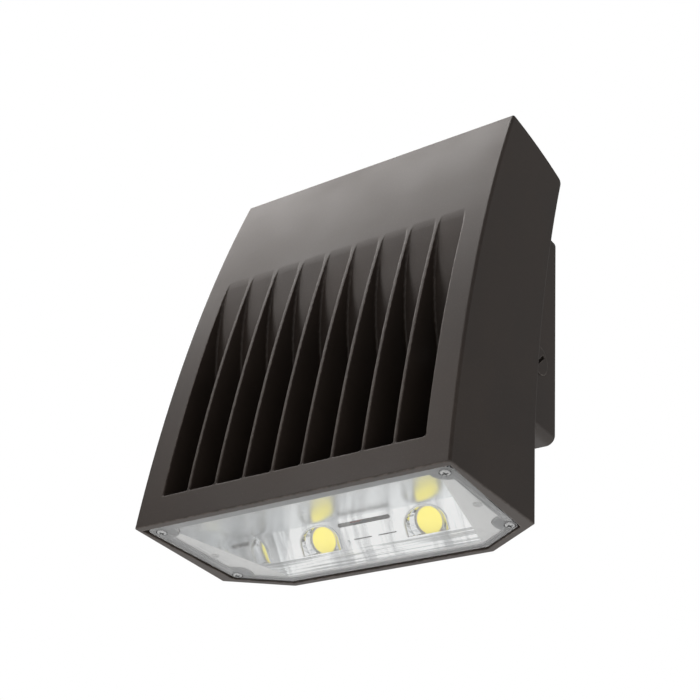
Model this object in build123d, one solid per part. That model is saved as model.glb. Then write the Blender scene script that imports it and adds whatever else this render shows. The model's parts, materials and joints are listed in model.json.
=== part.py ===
"""Wall pack light: a back box on the wall carries a finned, hinged housing with the lamp.

Millimetres. The origin is the centre of the back box's rear face, on the wall.
+X is to the right of someone who faces the light, +Y goes into the wall, +Z is up.
"""

import os
from math import asin, cos, degrees, hypot, pi, radians, sin, sqrt, tan

from build123d import *

# ---------------------------------------------------------------- driving dimensions
# Side view of the housing: each corner's distance from the wall and height above the heel,
# which is the lower rear corner of a side.
heel_reach = 55.0
toe_reach = 156.4
brow_reach = 84.5
brow_height = 317.4
nape_reach = 11.8
nape_height = 301.9
tail_reach = 26.6
bottom_rake = 1.4
front_bow = 10.75
top_bow = 2.0
nape_radius = 5.0

# Front view of the housing.
toe_width = 254.0
side_flare = 0.0255
side_draft = 0.012
tail_inset = 43.5
edge_radius = 1.8
rim_edge_radius = 0.8
shell = 3.2

# Fins and slots.
slot_count = 9
slot_field_margin = 19.0
fin_thickness = 2.5
crest_radius = 0.9
crest_end_height = 204.0
slot_corner = 1.2
slot_foot_height = 24.0
slot_sill_back_height = 48.7
scoop_radius = 215.0
scoop_crown_reach = 121.3
scoop_crown_height = 175.0
scoop_end_height = 100.0
scoop_blend_radius = 80.0
scoop_blend_short = 1.0
slot_wall = 3.5

# Lamp opening in the underside: widths of its rim, and of the seat inside the rim.
rim_toe = 5.2
rim_side_front = 3.0
rim_side_back = 9.9
rim_tail = 4.8
seat_toe = 9.5
seat_side_front = 9.5
seat_side_back = 8.0
seat_tail = 3.6
lens_recess = 1.0
lens_thickness = 3.0
lens_gap = 1.2
lens_seal_thickness = 2.0
lens_seal_margin = 0.3
lobe_radius = 11.5
lobe_height = 13.0
lamp_wall = 3.5
tail_roof_front_height = 62.0
tail_roof_back_height = 50.0
tail_wall = 3.4

# Lens screws: insets from the sides, from the toe, and in front of the heel line.
lens_screw_front_inset = 12.8
lens_screw_toe_inset = 14.8
lens_screw_back_inset = 16.3
lens_screw_heel_inset = 3.2
lens_screw_head = 7.4
lens_screw_head_height = 2.2
lens_screw_well = 8.2
lens_screw_well_depth = 1.6
lens_screw_shank = 4.0
lens_screw_length = 14.0
lens_screw_hole = 4.6
lens_corner = 6.0
lens_edge = 0.5

# Light sources, from the heel line and the heel's height.
cob_spacing = 89.0
cob_back = 7.3
cob_height = 23.0
cob_tilt = 35.0
cob_face = 19.5
cob_board = 24.0
cob_board_thickness = 1.6
cob_dam_width = 1.3
cob_dam_height = 0.75
phosphor_height = 0.6
pad_thickness = 0.4
holder_length = 50.0
holder_width = 28.0
holder_height = 3.4
holder_corner = 4.0
holder_bore = 22.6
holder_edge = 0.6
holder_fit = 0.2
holder_screw_spacing = 41.0
holder_screw_head = 5.2
holder_screw_head_height = 1.8
holder_screw_shank = 2.5
holder_screw_length = 6.5

# Reflector.
reflector_sheet = 1.2
flange_gap = 0.6
mouth_toe_inset = 16.4
mouth_back_inset = 12.4
mouth_front_inset = 19.45
mouth_tail_inset = 2.5
mouth_side_lean = 8.0
panel_lead = 6.0
panel_foot_drop = 8.0
panel_head_rise = 13.4
cup_width = 33.0
cup_rise = 12.0
cup_depth = 3.0
step_count = 5
step_depth = 0.5
vent_x = -4.0
vent_length = 44.0
vent_width = 3.0
vent_rise = 9.0
slit_left_x = -8.0
slit_right_x = 12.5
slit_length = 15.0
slit_width = 0.8
slit_drop = 2.6
stud_x = -21.4
stud_drop = 4.2
stud_radius = 1.8
stud_height = 1.0
flange_rib_length = 33.0
flange_rib_width = 0.9
flange_rib_height = 0.35
flange_rib_spacing = 3.6
flange_rib_inset = 19.4
flange_rib_y = 38.5
flange_rib_break = 4.6
reflector_screw_inset = 20.7
reflector_screw_y = 36.0
reflector_screw_head = 6.4
reflector_screw_head_height = 0.5
reflector_screw_shank = 3.0
reflector_screw_length = 8.0
reflector_boss_radius = 5.5
reflector_boss_height = 9.0

# Back box.
box_side_room = 11.0
box_height = 174.0
box_depth = 50.0
box_drop = 171.0
box_wall = 3.2
box_corner = 7.0
box_edge = 1.0
rim_width = 8.0
rim_thickness = 4.0
seal_thickness = 2.0
seal_margin = 1.0

# Opening between the housing's driver chamber and the back box.
wiring_opening_inset = 32.0
wiring_opening_height = 150.0
wiring_opening_corner = 8.0
plate_thickness = 3.5

# Conduit entries: half inch pipe thread.
entry_radius = 10.7
entry_hub_radius = 14.5
entry_hub_length = 12.6
entry_reach = 25.0
entry_drop = 31.0
rear_entry_hub_length = 8.0
plug_clearance = 0.03
plug_length = 12.0
plug_stand = 0.6
plug_slot_width = 2.6
plug_slot_depth = 3.0
plug_slot_turn = 45.0
plug_slot_length = 16.0
plug_lip = 0.7

# Wall fixings in the rear of the back box.
wall_hole_spacing_x = 160.0
wall_hole_spacing_z = 120.0
wall_hole_radius = 3.5
wall_boss_radius = 8.0
wall_boss_height = 3.0
junction_slot_spacing = 83.0
junction_slot_length = 14.0
junction_slot_width = 5.0

# Hinge on the left of the back box: upright pins, one low and one high.
hinge_out = 6.0
hinge_reach = 22.0
hinge_pin_radius = 2.5
hinge_fit = 0.05
hinge_barrel_radius = 5.0
hinge_lug_height = 10.0
hinge_ear_height = 6.0
hinge_washer_height = 1.0
hinge_spacing = 136.0
hinge_pin_tail = 1.0
hinge_head_radius = 4.0
hinge_head_height = 1.5

# Captive screw that closes the housing, in the floor of the slot furthest from the hinge.
closing_drop = 60.0
closing_shank_radius = 3.0
closing_bore_radius = 3.4
closing_boss_radius = 9.5
closing_seat_radius = 7.5
closing_seat_depth = 2.2
closing_head_radius = 5.0
closing_head_height = 5.0
closing_key_width = 5.0
closing_key_depth = 2.6
closing_washer_radius = 6.2
closing_washer_height = 1.2
closing_engaged = 9.0
closing_tip_room = 1.0
closing_post_radius = 7.0
closing_web = 8.0
closing_groove_radius = 2.3
head_chamfer = 0.14
closing_travel = 10.0
retainer_radius = 5.4
retainer_height = 1.0
retainer_play = 0.5
retainer_pocket_radius = 5.9
retainer_mouth = 0.8

# Driver on its plate, and the supply connectors beside it.
driver_side_room = 36.0
driver_width = 60.0
driver_depth = 34.0
driver_centre_drop = 40.0
driver_ear_length = 10.0
driver_ear_width = 14.0
driver_ear_height = 4.0
driver_corner = 2.0
driver_edge = 1.0
mounting_plate_reach = 100.0
mounting_plate_sheet = 1.5
mounting_plate_corner = 3.0
mounting_plate_margin = 5.0
mounting_boss_radius = 4.5
mounting_boss_drop = 24.0
small_screw_head = 7.0
small_screw_head_height = 2.4
small_screw_shank = 4.0
small_screw_length = 8.0

# Cross recess and rounding of every screw head, as shares of the head.
head_round = 0.6
drive_depth = 0.5
drive_span = 0.62
drive_width = 0.16
connector_count = 2
connector_shift = -6.0
connector_pitch = 40.0
connector_length = 18.0
connector_width = 12.0
connector_height = 8.5
connector_corner = 1.2
connector_gap = 3.0
connector_port_depth = 9.0

# Wiring.
supply_lead_radius = 1.2
led_lead_radius = 0.9
lead_pitch = 4.0
lead_spread = 3.0
lead_way_out = 18.0
lead_layer = 3.0
lead_over_connectors = 3.0
lead_dip = 14.0
lead_entry = 8.0
led_lead_drop = 64.0
led_lead_pitch = 4.0
led_lead_below_roof = 8.6
led_terminal_rise = 9.0
led_link_drop = 7.0
led_terminal_run = 10.5
led_lead_turn_y = 58.0
grommet_radius = 6.5
grommet_waist = 4.8
grommet_flange = 1.5
grommet_reach = 80.0

# Ground screw in the driver chamber, and the spare one in the back box.
ground_shift = 3.0
ground_z = 20.0
ground_boss_radius = 5.0
ground_ring_radius = 4.6
ground_ring_sheet = 0.8
ground_barrel_length = 8.0
ground_barrel_radius = 2.0
ground_lead_below = 28.0
ground_lead_rise = 32.0
box_ground_x = 60.0
box_ground_z = 40.0
box_ground_lift = 6.0

# Clearances.
thread_fit = 0.03
hole_play = 0.3
near = 0.3

# ---------------------------------------------------------------- reference points and shapes
heel_z = -box_drop
tail_width = toe_width - 2 * tail_inset
box_width = toe_width - 2 * box_side_room
wiring_opening_width = box_width - 2 * wiring_opening_inset
rake = tan(radians(bottom_rake))
rim_y = -box_depth
parting_y = rim_y - seal_thickness
plate_front_y = parting_y - plate_thickness


def bottom_z(y, above=0.0):
    """Height of the raked underside at y, or of a plane that lies above it."""
    return heel_z - rake * (y + heel_reach) + above


def at_height(reach, height):
    """Side-view point from its distance from the wall and height above the heel."""
    return (-reach, heel_z + height)


heel = at_height(heel_reach, 0)
toe = (-toe_reach, bottom_z(-toe_reach))
brow = at_height(brow_reach, brow_height)
nape = at_height(nape_reach, nape_height)
tail_foot = (-tail_reach, bottom_z(-tail_reach))


class Arc:
    """Side-view arc that stands out from its chord by bow, on the outer side."""

    def __init__(self, start, end, bow):
        dy, dz = end[0] - start[0], end[1] - start[1]
        chord = hypot(dy, dz)
        self.radius = (chord**2 / 4 + bow**2) / (2 * bow)
        back = (self.radius - bow) / chord
        self.y = (start[0] + end[0]) / 2 + dz * back
        self.z = (start[1] + end[1]) / 2 - dy * back

    def front(self, z):
        """y at a height, on the side away from the wall."""
        return self.y - sqrt(self.radius**2 - (z - self.z) ** 2)

    def top(self, y):
        """z at y, on the upper side."""
        return self.z + sqrt(self.radius**2 - (y - self.y) ** 2)


face_arc = Arc(toe, brow, front_bow)
top_arc = Arc(brow, nape, top_bow)
nape_run = heel_reach - nape_reach
rear_radius = (nape_height**2 + nape_run**2) / (2 * nape_run)


def rear_y(z):
    """y of the hollow rear edge of a side, which leaves the heel upright."""
    return rear_radius - heel_reach - sqrt(rear_radius**2 - (z - heel_z) ** 2)


scoop_middle = Vector(0, scoop_radius - scoop_crown_reach, heel_z + scoop_crown_height)


def scoop_y(z):
    """y of the curved floor of a slot."""
    return scoop_middle.Y - sqrt(scoop_radius**2 - (z - scoop_middle.Z) ** 2)


def scoop_blend():
    """Arc that turns the floor of a slot into the face: start, middle, and just short of its end."""
    face_middle = Vector(0, face_arc.y, face_arc.z)
    apart = face_middle - scoop_middle
    to_scoop = scoop_radius - scoop_blend_radius
    to_face = face_arc.radius - scoop_blend_radius
    along = (to_scoop**2 - to_face**2 + apart.length**2) / (2 * apart.length)
    aside = sqrt(to_scoop**2 - along**2)
    way = apart.normalized()
    middle = scoop_middle + way * along + Vector(0, way.Z, -way.Y) * aside
    start = (middle - scoop_middle).normalized()
    turn = start.get_angle((middle - face_middle).normalized())
    turn -= degrees(scoop_blend_short / scoop_blend_radius)
    ways = [start, start.rotate(Axis.X, -turn / 2), start.rotate(Axis.X, -turn)]
    return [middle + way * scoop_blend_radius for way in ways]


def upright_arc(place, low, high):
    """Side-view arc through y(z) at two heights and midway."""
    middle = (low + high) / 2
    return ThreePointArc((place(low), low), (place(middle), middle), (place(high), high))


def level_arc(place, start, end):
    """Side-view arc through z(y) at two places and midway."""
    middle = (start + end) / 2
    return ThreePointArc((start, place(start)), (middle, place(middle)), (end, place(end)))


def slab(outline, half_width):
    """Solid from a closed side-view outline, as wide on each side of the middle."""
    return extrude(Plane.YZ * make_face(outline), amount=half_width, both=True)


def prism(points, half_width):
    """Slab from straight side-view edges."""
    return slab(Polyline(*points, close=True), half_width)


def block(x, y, z):
    """Box between the two values given for each axis."""
    size = (x[1] - x[0], y[1] - y[0], z[1] - z[0])
    return Pos(sum(x) / 2, sum(y) / 2, sum(z) / 2) * Box(*size)


def rod(start, direction, radius, length):
    """Cylinder that leaves a point in a direction."""
    return Plane(start, z_dir=direction) * Cylinder(radius, length, align=seated)


seated = (Align.CENTER, Align.CENTER, Align.MIN)
outward, inward, upward, downward = (0, -1, 0), (0, 1, 0), (0, 0, 1), (0, 0, -1)
leftward, rightward = (-1, 0, 0), (1, 0, 0)

# The underside's own frame: x, distance behind the heel line, and height above the rim.
underside = Plane((0, heel[0], heel[1]), x_dir=rightward, z_dir=(0, rake, 1))


def layer(outline, low, high):
    """Solid over a plan outline of the underside, between two heights above the rim."""
    return underside * Pos(0, 0, low) * extrude(make_face(outline), amount=high - low)


def half_width(y, z):
    """Half of the housing's outer width."""
    return toe_width / 2 + side_flare * (y - toe[0]) - side_draft * (z - toe[1])


def between_sides(inset=0.0):
    """Everything between the two drafted sides, or between walls inset from them."""
    body = block((-toe_width, toe_width), (-toe_width, toe_width), (-toe_width, toe_width))
    for side in (-1, 1):
        place = (side * (half_width(*toe) - inset), toe[0], toe[1])
        cut = Plane(place, z_dir=(side, -side_flare, side_draft))
        body = split(body, cut, keep=Keep.BOTTOM)
    return body


heel_half = half_width(*heel)
tail_slope = (heel_reach - tail_reach) / (heel_half - tail_width / 2)


def plan(at_toe, side_front, side_back, at_tail):
    """Corners of the underside's plan, inset by its own amount at each edge."""
    front_y = plan_toe_y + at_toe
    back_y = heel_reach - tail_reach - at_tail
    heel_x = heel_half - side_back
    right = [
        (half_width(*toe) - side_front, front_y),
        (heel_x, 0),
        (heel_x - back_y / tail_slope, back_y),
    ]
    return right + [(-x, y) for x, y in reversed(right)]


def ring_of(corners):
    return Polyline(*corners, close=True)


def on_sides(inset, y):
    """The two places of the underside's plan at an inset from the sides."""
    x = half_width(heel[0] + y, heel_z) - inset
    return [(-x, y), (x, y)]


plan_toe_y = heel_reach - toe_reach
lens_screws = on_sides(lens_screw_front_inset, plan_toe_y + lens_screw_toe_inset)
lens_screws += on_sides(lens_screw_back_inset, -lens_screw_heel_inset)


def below(x, y, high, radius, low):
    """Upright round column of the underside's frame, between two heights."""
    return underside * Pos(x, y, low) * Cylinder(radius, high - low, align=seated)


lens_top = lens_recess + lens_thickness
seat_level = lens_top + lens_seal_thickness
rim_plan = plan(rim_toe, rim_side_front, rim_side_back, rim_tail)
cavity_insets = (
    rim_toe + seat_toe,
    rim_side_front + seat_side_front,
    rim_side_back + seat_side_back,
    rim_tail + seat_tail,
)
cavity_plan = plan(*cavity_insets)

# Light sources: a tilted frame at each, its z along the light and its y up the face.
cob_place = at_height(heel_reach - cob_back, cob_height)
light_way = (0, -cos(radians(cob_tilt)), -sin(radians(cob_tilt)))
rise_way = (0, light_way[2], -light_way[1])
cob_middle = Plane((0, *cob_place), x_dir=rightward, z_dir=light_way)
cob_places = [cob_middle * Pos(side * cob_spacing / 2, 0, 0) for side in (-1, 1)]
board_front = -phosphor_height
board_back = board_front - cob_board_thickness
pad_back = board_back - pad_thickness


def tilted(rise, lead):
    """Side-view point from its rise up the light face and its lead in front of it."""
    return (
        cob_place[0] + rise * rise_way[1] + lead * light_way[1],
        cob_place[1] + rise * rise_way[2] + lead * light_way[2],
    )


def on_tilt(z, lead):
    """Side-view point at a height, on the plane that leads the light face by lead."""
    rise = (z - cob_place[1] - lead * light_way[2]) / rise_way[2]
    return tilted(rise, lead)


slot_pitch = (toe_width - 2 * slot_field_margin) / slot_count
slot_width = slot_pitch - fin_thickness
slot_places = [(index - (slot_count - 1) / 2) * slot_pitch for index in range(slot_count)]
slot_foot = heel_z + slot_foot_height
scoop_end = heel_z + scoop_end_height
sill_front_y = face_arc.front(slot_foot)
sill_back_z = heel_z + slot_sill_back_height
sill_rise = (sill_back_z - slot_foot) / (scoop_y(scoop_end) - sill_front_y)
sill_stretch = hypot(1, sill_rise)
ahead_y = toe[0] - shell


blend_start, blend_middle, blend_end = [(point.Y, point.Z) for point in scoop_blend()]


def slot_outline(grow=0.0):
    """Side view of a slot, or of the walls that line it when grown."""
    foot_drop = grow * sill_stretch
    reach = sill_front_y - ahead_y
    back_y = scoop_y(scoop_end) + grow
    low = slot_foot - foot_drop
    top = (blend_start[0] + grow, blend_start[1]) if grow else blend_end
    lining = upright_arc(lambda z: scoop_y(z) + grow, scoop_end, blend_start[1])
    if not grow:
        lining += ThreePointArc(blend_start, blend_middle, blend_end)
    return lining + Polyline(
        (back_y, scoop_end),
        (back_y, sill_back_z - foot_drop + grow * sill_rise),
        (ahead_y, low - reach * sill_rise),
        (ahead_y, top[1]),
        top,
    )


# ---------------------------------------------------------------- housing
tail_roof_z = heel_z + tail_roof_front_height
ample = toe_width


def within(arc, inset):
    """Everything on the inner side of one of the outline's arcs."""
    return rod((-ample, arc.y, arc.z), rightward, arc.radius - inset, 2 * ample)


def ahead_of_tail(inset):
    """Everything in front of the tail's three upright faces, or of walls inset from them."""
    slope_inset = inset * hypot(1, tail_slope)
    back_y = -tail_reach - inset
    corner_x = heel_half - (heel_reach + back_y + slope_inset) / tail_slope
    side_y = heel[0] - (ample - heel_half) * tail_slope - slope_inset
    right = [(ample, -ample), (ample, side_y), (corner_x, back_y)]
    corners = right + [(-x, y) for x, y in reversed(right)]
    return Pos(0, 0, -ample) * extrude(make_face(ring_of(corners)), amount=2 * ample)


def housing_outside():
    """The casting's outer form: five-sided in side view, with a six-sided tail below."""
    outline = (
        Line(heel, toe)
        + upright_arc(face_arc.front, toe[1], brow[1])
        + level_arc(top_arc.top, brow[0], nape[0])
        + upright_arc(rear_y, heel[1], nape[1])
    )
    start_y = heel[0] - shell
    tail = prism(
        [
            (start_y, bottom_z(start_y)),
            tail_foot,
            at_height(tail_reach, tail_roof_back_height),
            (parting_y, tail_roof_z),
            (start_y, tail_roof_z),
        ],
        ample,
    )
    return (slab(outline, ample) + (tail & ahead_of_tail(0))) & between_sides()


def soften(body):
    """Round the casting's outer edges: the nape most, the rim of the lamp opening least."""
    across = [edge for edge in body.edges() if abs(edge.center().X) < near]
    body = fillet([edge for edge in across if abs(edge.center().Y - nape[0]) < near], nape_radius)
    sides = [face for face in body.faces() if abs(face.center().X) > heel_half - tail_inset / 4]
    long_edges = [edge for face in sides for edge in face.edges() if edge.center().Z > tail_roof_z]
    long_edges += [edge for edge in body.edges() if abs(edge.center().Z - brow[1]) < near]
    body = fillet(long_edges, edge_radius)
    rim = body.faces().sort_by(Axis.Z)[0]
    return fillet(rim.edges(), rim_edge_radius)


def lamp_cavity():
    """Room for the light sources and reflector, open below and ringed by the lens seat."""
    grow = slot_wall * sill_stretch
    front_y = heel[0] + cavity_plan[0][1] - near
    roof_z = sill_back_z - grow
    room = prism(
        [
            (front_y, bottom_z(front_y)),
            (front_y, slot_foot - grow + (front_y - sill_front_y) * sill_rise),
            (scoop_y(scoop_end), roof_z),
            on_tilt(roof_z, pad_back),
            on_tilt(heel_z - shell, pad_back),
        ],
        ample,
    )
    room &= layer(ring_of(cavity_plan), seat_level, sill_back_z - heel_z + shell)
    for x, y in lens_screws:
        room -= below(x, y, seat_level + lobe_height, lobe_radius, seat_level)
    for x, y in reflector_screws:
        room -= below(x, y, seat_level + reflector_boss_height, reflector_boss_radius, seat_level)
    return room + layer(ring_of(rim_plan), -shell, seat_level)


reflector_screws = on_sides(reflector_screw_inset, -reflector_screw_y)
field_half = slot_places[-1] + slot_width / 2
chamber_floor = sill_back_z + lamp_wall


def driver_chamber():
    """Room behind the fins for the driver, reaching down behind the light sources."""
    back = pad_back - lamp_wall
    low_z = tilted(-holder_width / 2, back)[1]
    tail_y = -tail_reach - tail_wall
    room = prism(
        [
            (-ample, chamber_floor),
            on_tilt(chamber_floor, back),
            on_tilt(low_z, back),
            (tail_y, low_z),
            (tail_y, heel_z + tail_roof_back_height - tail_wall),
            (plate_front_y, tail_roof_z - tail_wall),
            (plate_front_y, ample),
            (-ample, ample),
        ],
        ample,
    )
    room &= between_sides(shell)
    room &= ahead_of_tail(tail_wall)
    room &= within(face_arc, shell)
    room &= within(top_arc, shell)
    return room - slab(slot_outline(slot_wall), field_half + slot_wall)


def box_pocket():
    """Room behind the parting plane, between the sides and under the hood."""
    room = block((-ample, ample), (parting_y, ample), (tail_roof_z, ample))
    return room & between_sides(shell) & within(top_arc, shell)


def slots():
    """The nine slots between the fins, with rounded corners along their floors and sills."""
    one = slab(slot_outline(), slot_width / 2)
    sides = [edge for edge in one.edges() if abs(edge.center().X) > near]
    sides = [edge for edge in sides if edge.center().Y > ahead_y + near]
    one = fillet([edge for edge in sides if edge.center().Z < blend_end[1] - near], slot_corner)
    return [Pos(x, 0, 0) * one for x in slot_places]


def crest_rounds():
    """What rounding takes off both front edges of each fin, fading out towards its upper end."""
    radius = face_arc.radius
    foot_turn = asin((slot_foot - face_arc.z) / radius)
    end_turn = asin((heel_z + crest_end_height - face_arc.z) / radius)
    lift = crest_radius / sin(end_turn - foot_turn)
    profile = make_face(
        Polyline((0, radius - crest_radius), (0, radius + shell), (crest_radius, radius + shell))
        + Line((crest_radius, radius + shell), (crest_radius, radius))
        + RadiusArc((crest_radius, radius), (0, radius - crest_radius), -crest_radius)
    )
    centre = (0, face_arc.y + lift * sin(foot_turn), face_arc.z + lift * cos(foot_turn))
    facing = Plane(centre, x_dir=rightward, z_dir=downward)
    sweep = degrees(end_turn)
    right = revolve(facing * profile, Axis(centre, leftward), sweep)
    right &= slab(slot_outline(), ample)
    left = mirror(right, Plane.YZ)
    half = slot_width / 2
    rights = [Pos(x + half, 0, 0) * right for x in slot_places]
    lefts = [Pos(x - half, 0, 0) * left for x in slot_places]
    return rights + lefts


def wiring_opening():
    """Window in the plate between the driver chamber and the back box."""
    window = RectangleRounded(wiring_opening_width, wiring_opening_height, wiring_opening_corner)
    return Plane((0, plate_front_y - near, 0), x_dir=rightward, z_dir=inward) * extrude(
        window, amount=plate_thickness + 2 * near
    )


closing_x = slot_places[-1]
driver_length = 2 * (closing_x - driver_side_room)
closing_z = -closing_drop
closing_floor_y = scoop_y(closing_z)
closing_seat_y = closing_floor_y + closing_seat_depth
retainer_y = parting_y - retainer_play - retainer_height
mounting_z = -driver_centre_drop
mounting_x = driver_length / 2 + driver_ear_length + mounting_boss_radius + near
mounting_places = [
    (x_side * mounting_x, mounting_z + z_side * mounting_boss_drop)
    for x_side in (-1, 1)
    for z_side in (-1, 1)
]
mounting_y = -mounting_plate_reach
ground_x = closing_x + ground_shift
ground_place = (ground_x, ground_z)
hinge_x = -box_width / 2 - hinge_out
hinge_y = -hinge_reach
hinge_ears = [side * hinge_spacing / 2 - hinge_ear_height / 2 for side in (-1, 1)]
lug_lift = hinge_ear_height + hinge_washer_height
pin_hole_radius = hinge_pin_radius + hinge_fit
grommet_y = -grommet_reach
lamp_roof_z = sill_back_z - slot_wall * sill_stretch


def post_behind_fins(x, z, end_y, radius):
    """Round post from the wall behind the fins to a plane nearer the wall."""
    start_y = scoop_y(max(z, scoop_end)) + slot_wall / 2
    return rod((x, start_y, z), inward, radius, end_y - start_y)


def hinge_lugs():
    """Two arms that reach back from the plate to the hinge, each with its barrel."""
    arms = []
    for ear_z in hinge_ears:
        low = ear_z + lug_lift
        across = (hinge_x - hinge_barrel_radius, hinge_x + hinge_barrel_radius)
        arm = block(across, (plate_front_y, hinge_y), (low, low + hinge_lug_height))
        arms.append(arm + rod((hinge_x, hinge_y, low), upward, hinge_barrel_radius, hinge_lug_height))
    return arms


def blind_hole(place, radius, depth):
    """Hole from the place's origin, against its z."""
    return place * Pos(0, 0, -depth) * Cylinder(radius, depth + near, align=seated)


def housing():
    """Cast housing: fins in front, lamp room below, driver chamber behind, hood above."""
    body = soften(housing_outside())
    body -= lamp_cavity()
    body -= driver_chamber()
    body -= box_pocket()
    body -= wiring_opening()
    body += post_behind_fins(closing_x, closing_z, parting_y, closing_boss_radius)
    for x, z in mounting_places:
        body += post_behind_fins(x, z, mounting_y, mounting_boss_radius)
    body += post_behind_fins(*ground_place, mounting_y, ground_boss_radius)
    body += hinge_lugs()
    body -= slots() + crest_rounds() + housing_holes()
    return body


def housing_holes():
    """Every screw, pin and lead hole of the housing."""
    seat = rod((closing_x, closing_seat_y, closing_z), outward, closing_seat_radius, ample)
    bore = rod((closing_x, closing_seat_y - near, closing_z), inward, closing_bore_radius, ample)
    pocket_depth = closing_travel + retainer_height + 2 * retainer_play
    pocket = rod((closing_x, parting_y, closing_z), outward, retainer_pocket_radius, pocket_depth)
    holes = [seat, bore, pocket]
    back_face = Plane((0, mounting_y, 0), x_dir=rightward, z_dir=inward)
    screw_radius = small_screw_shank / 2 + thread_fit
    for x, z in mounting_places + [ground_place]:
        holes.append(blind_hole(back_face * Pos(x, -z, 0), screw_radius, small_screw_length))
    tapped = lens_screw_shank / 2 + thread_fit
    end_level = lens_recess + lens_screw_well_depth + lens_screw_length + near
    holes += [below(x, y, end_level, tapped, seat_level - near) for x, y in lens_screws]
    tapped = reflector_screw_shank / 2 + thread_fit
    end_level = seat_level + reflector_screw_length
    holes += [below(x, y, end_level, tapped, seat_level - near) for x, y in reflector_screws]
    for place in cob_places:
        for side in (-1, 1):
            mount = place * Pos(side * holder_screw_spacing / 2, 0, pad_back)
            depth = holder_screw_length - holder_height + near
            holes.append(blind_hole(mount, holder_screw_shank / 2 + thread_fit, depth))
    pin_run = lug_lift + hinge_lug_height + near
    holes += [rod((hinge_x, hinge_y, ear_z), upward, pin_hole_radius, pin_run) for ear_z in hinge_ears]
    grommet_run = chamber_floor - lamp_roof_z + 2 * near
    holes.append(rod((0, grommet_y, lamp_roof_z - near), upward, grommet_waist, grommet_run))
    return holes


# ---------------------------------------------------------------- lamp: lens, seal, reflector
def rounded(corners, low, high, radius):
    """Plan layer with its upright edges rounded."""
    body = layer(ring_of(corners), low, high)
    upright = [edge for edge in body.edges() if abs(edge.tangent_at(0).Z) > abs(edge.tangent_at(0).Y) + near]
    return fillet(upright, radius)


def lens():
    """Flat clear cover, its screws let into shallow wells."""
    corners = plan(*(inset + lens_gap for inset in (rim_toe, rim_side_front, rim_side_back, rim_tail)))
    body = rounded(corners, lens_recess, lens_top, lens_corner)
    body = chamfer(body.faces().sort_by(Axis.Z)[0].edges(), lens_edge)
    for x, y in lens_screws:
        body -= below(x, y, lens_top + near, lens_screw_hole / 2, lens_recess - near)
        body -= below(x, y, lens_recess + lens_screw_well_depth, lens_screw_well / 2, lens_recess - near)
    return body


def lens_gasket():
    """Flat seal between the lens and its seat, widened round each screw."""
    inset = lens_gap + lens_seal_margin
    corners = plan(*(inset + width for width in (rim_toe, rim_side_front, rim_side_back, rim_tail)))
    body = rounded(corners, lens_top, seat_level, lens_corner - lens_seal_margin)
    inside = layer(ring_of(cavity_plan), lens_top - near, seat_level + near)
    for x, y in lens_screws:
        inside -= below(x, y, seat_level + shell, lobe_radius, lens_top - shell)
    body -= inside
    for x, y in lens_screws:
        body -= below(x, y, seat_level + near, lens_screw_hole / 2, lens_top - near)
    return body


def pan_screw(place, head, head_height, shank, length):
    """Screw whose head sits on the place and whose shank runs against its z."""
    dome = place * Cylinder(head / 2, head_height, align=seated)
    rim = dome.edges().filter_by(GeomType.CIRCLE)
    rim = [edge for edge in rim if (place.inverse() * Pos(*edge.arc_center)).position.Z > head_height / 2]
    dome = fillet(rim, head_height * head_round)
    recess = place * Pos(0, 0, head_height - head_height * drive_depth)
    bar_size = (head * drive_span, head * drive_width, head_height)
    for turn in (0, 90):
        dome -= recess * Rot(0, 0, turn) * Box(*bar_size, align=seated)
    shank_part = place * Pos(0, 0, -length) * Cylinder(shank / 2, length, align=seated)
    return dome + shank_part


def group(pieces):
    """One node that holds several separate solids."""
    return Compound(children=[piece.solid() for piece in pieces])


def lens_screws_node():
    pieces = []
    for x, y in lens_screws:
        place = underside * Pos(x, y, lens_recess + lens_screw_well_depth) * Rot(180, 0, 0)
        sizes = (lens_screw_head, lens_screw_head_height, lens_screw_shank, lens_screw_length)
        pieces.append(pan_screw(place, *sizes))
    return group(pieces)


flange_low = seat_level - reflector_sheet
mouth_front = -plan_toe_y - mouth_toe_inset
mouth_back = heel_reach - tail_reach - mouth_back_inset
mouth_front_width = 2 * on_sides(mouth_front_inset, -mouth_front)[1][0]
mouth_back_width = tail_width - 2 * mouth_tail_inset


def reflector_outline(grow):
    """Side view of the reflecting room: hazy roof, lamp panel and stepped foot."""
    front = (heel[0] - mouth_front, bottom_z(heel[0] - mouth_front, flange_low))
    back = (heel[0] + mouth_back, bottom_z(heel[0] + mouth_back, flange_low))
    foot = tilted(-panel_foot_drop, panel_lead)
    head = tilted(panel_head_rise, panel_lead)
    face = Plane.YZ * make_face(Polyline(front, head, foot, back, close=True))
    if grow:
        face = offset(face, amount=grow, kind=Kind.INTERSECTION)
    return face


def reflector_room(grow=0.0):
    """Solid that fills the reflecting room, or its sheet's outer side when grown."""
    body = extrude(reflector_outline(grow), amount=ample, both=True)
    run = mouth_front + mouth_back
    narrowing = (mouth_front_width - mouth_back_width) / 2
    for side in (-1, 1):
        lean = tan(radians(mouth_side_lean)) * hypot(run, narrowing)
        normal = Vector(side * run, narrowing, lean)
        corner = (side * mouth_front_width / 2, -mouth_front, flange_low)
        wall = Plane(underside * Plane(corner, z_dir=normal).location).offset(grow)
        body = split(body, wall, keep=Keep.BOTTOM)
    return body


def cup_arch(grow=0.0):
    """Arch-shaped opening round a light source, in the tilted frame."""
    half = cup_width / 2 + grow
    arch = Ellipse(half, cup_rise + grow)
    foot = Pos(0, -panel_foot_drop / 2) * Rectangle(2 * half, panel_foot_drop)
    upper = Pos(0, (cup_rise + grow) / 2) * Rectangle(2 * half, cup_rise + grow)
    return (arch & upper) + foot


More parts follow.
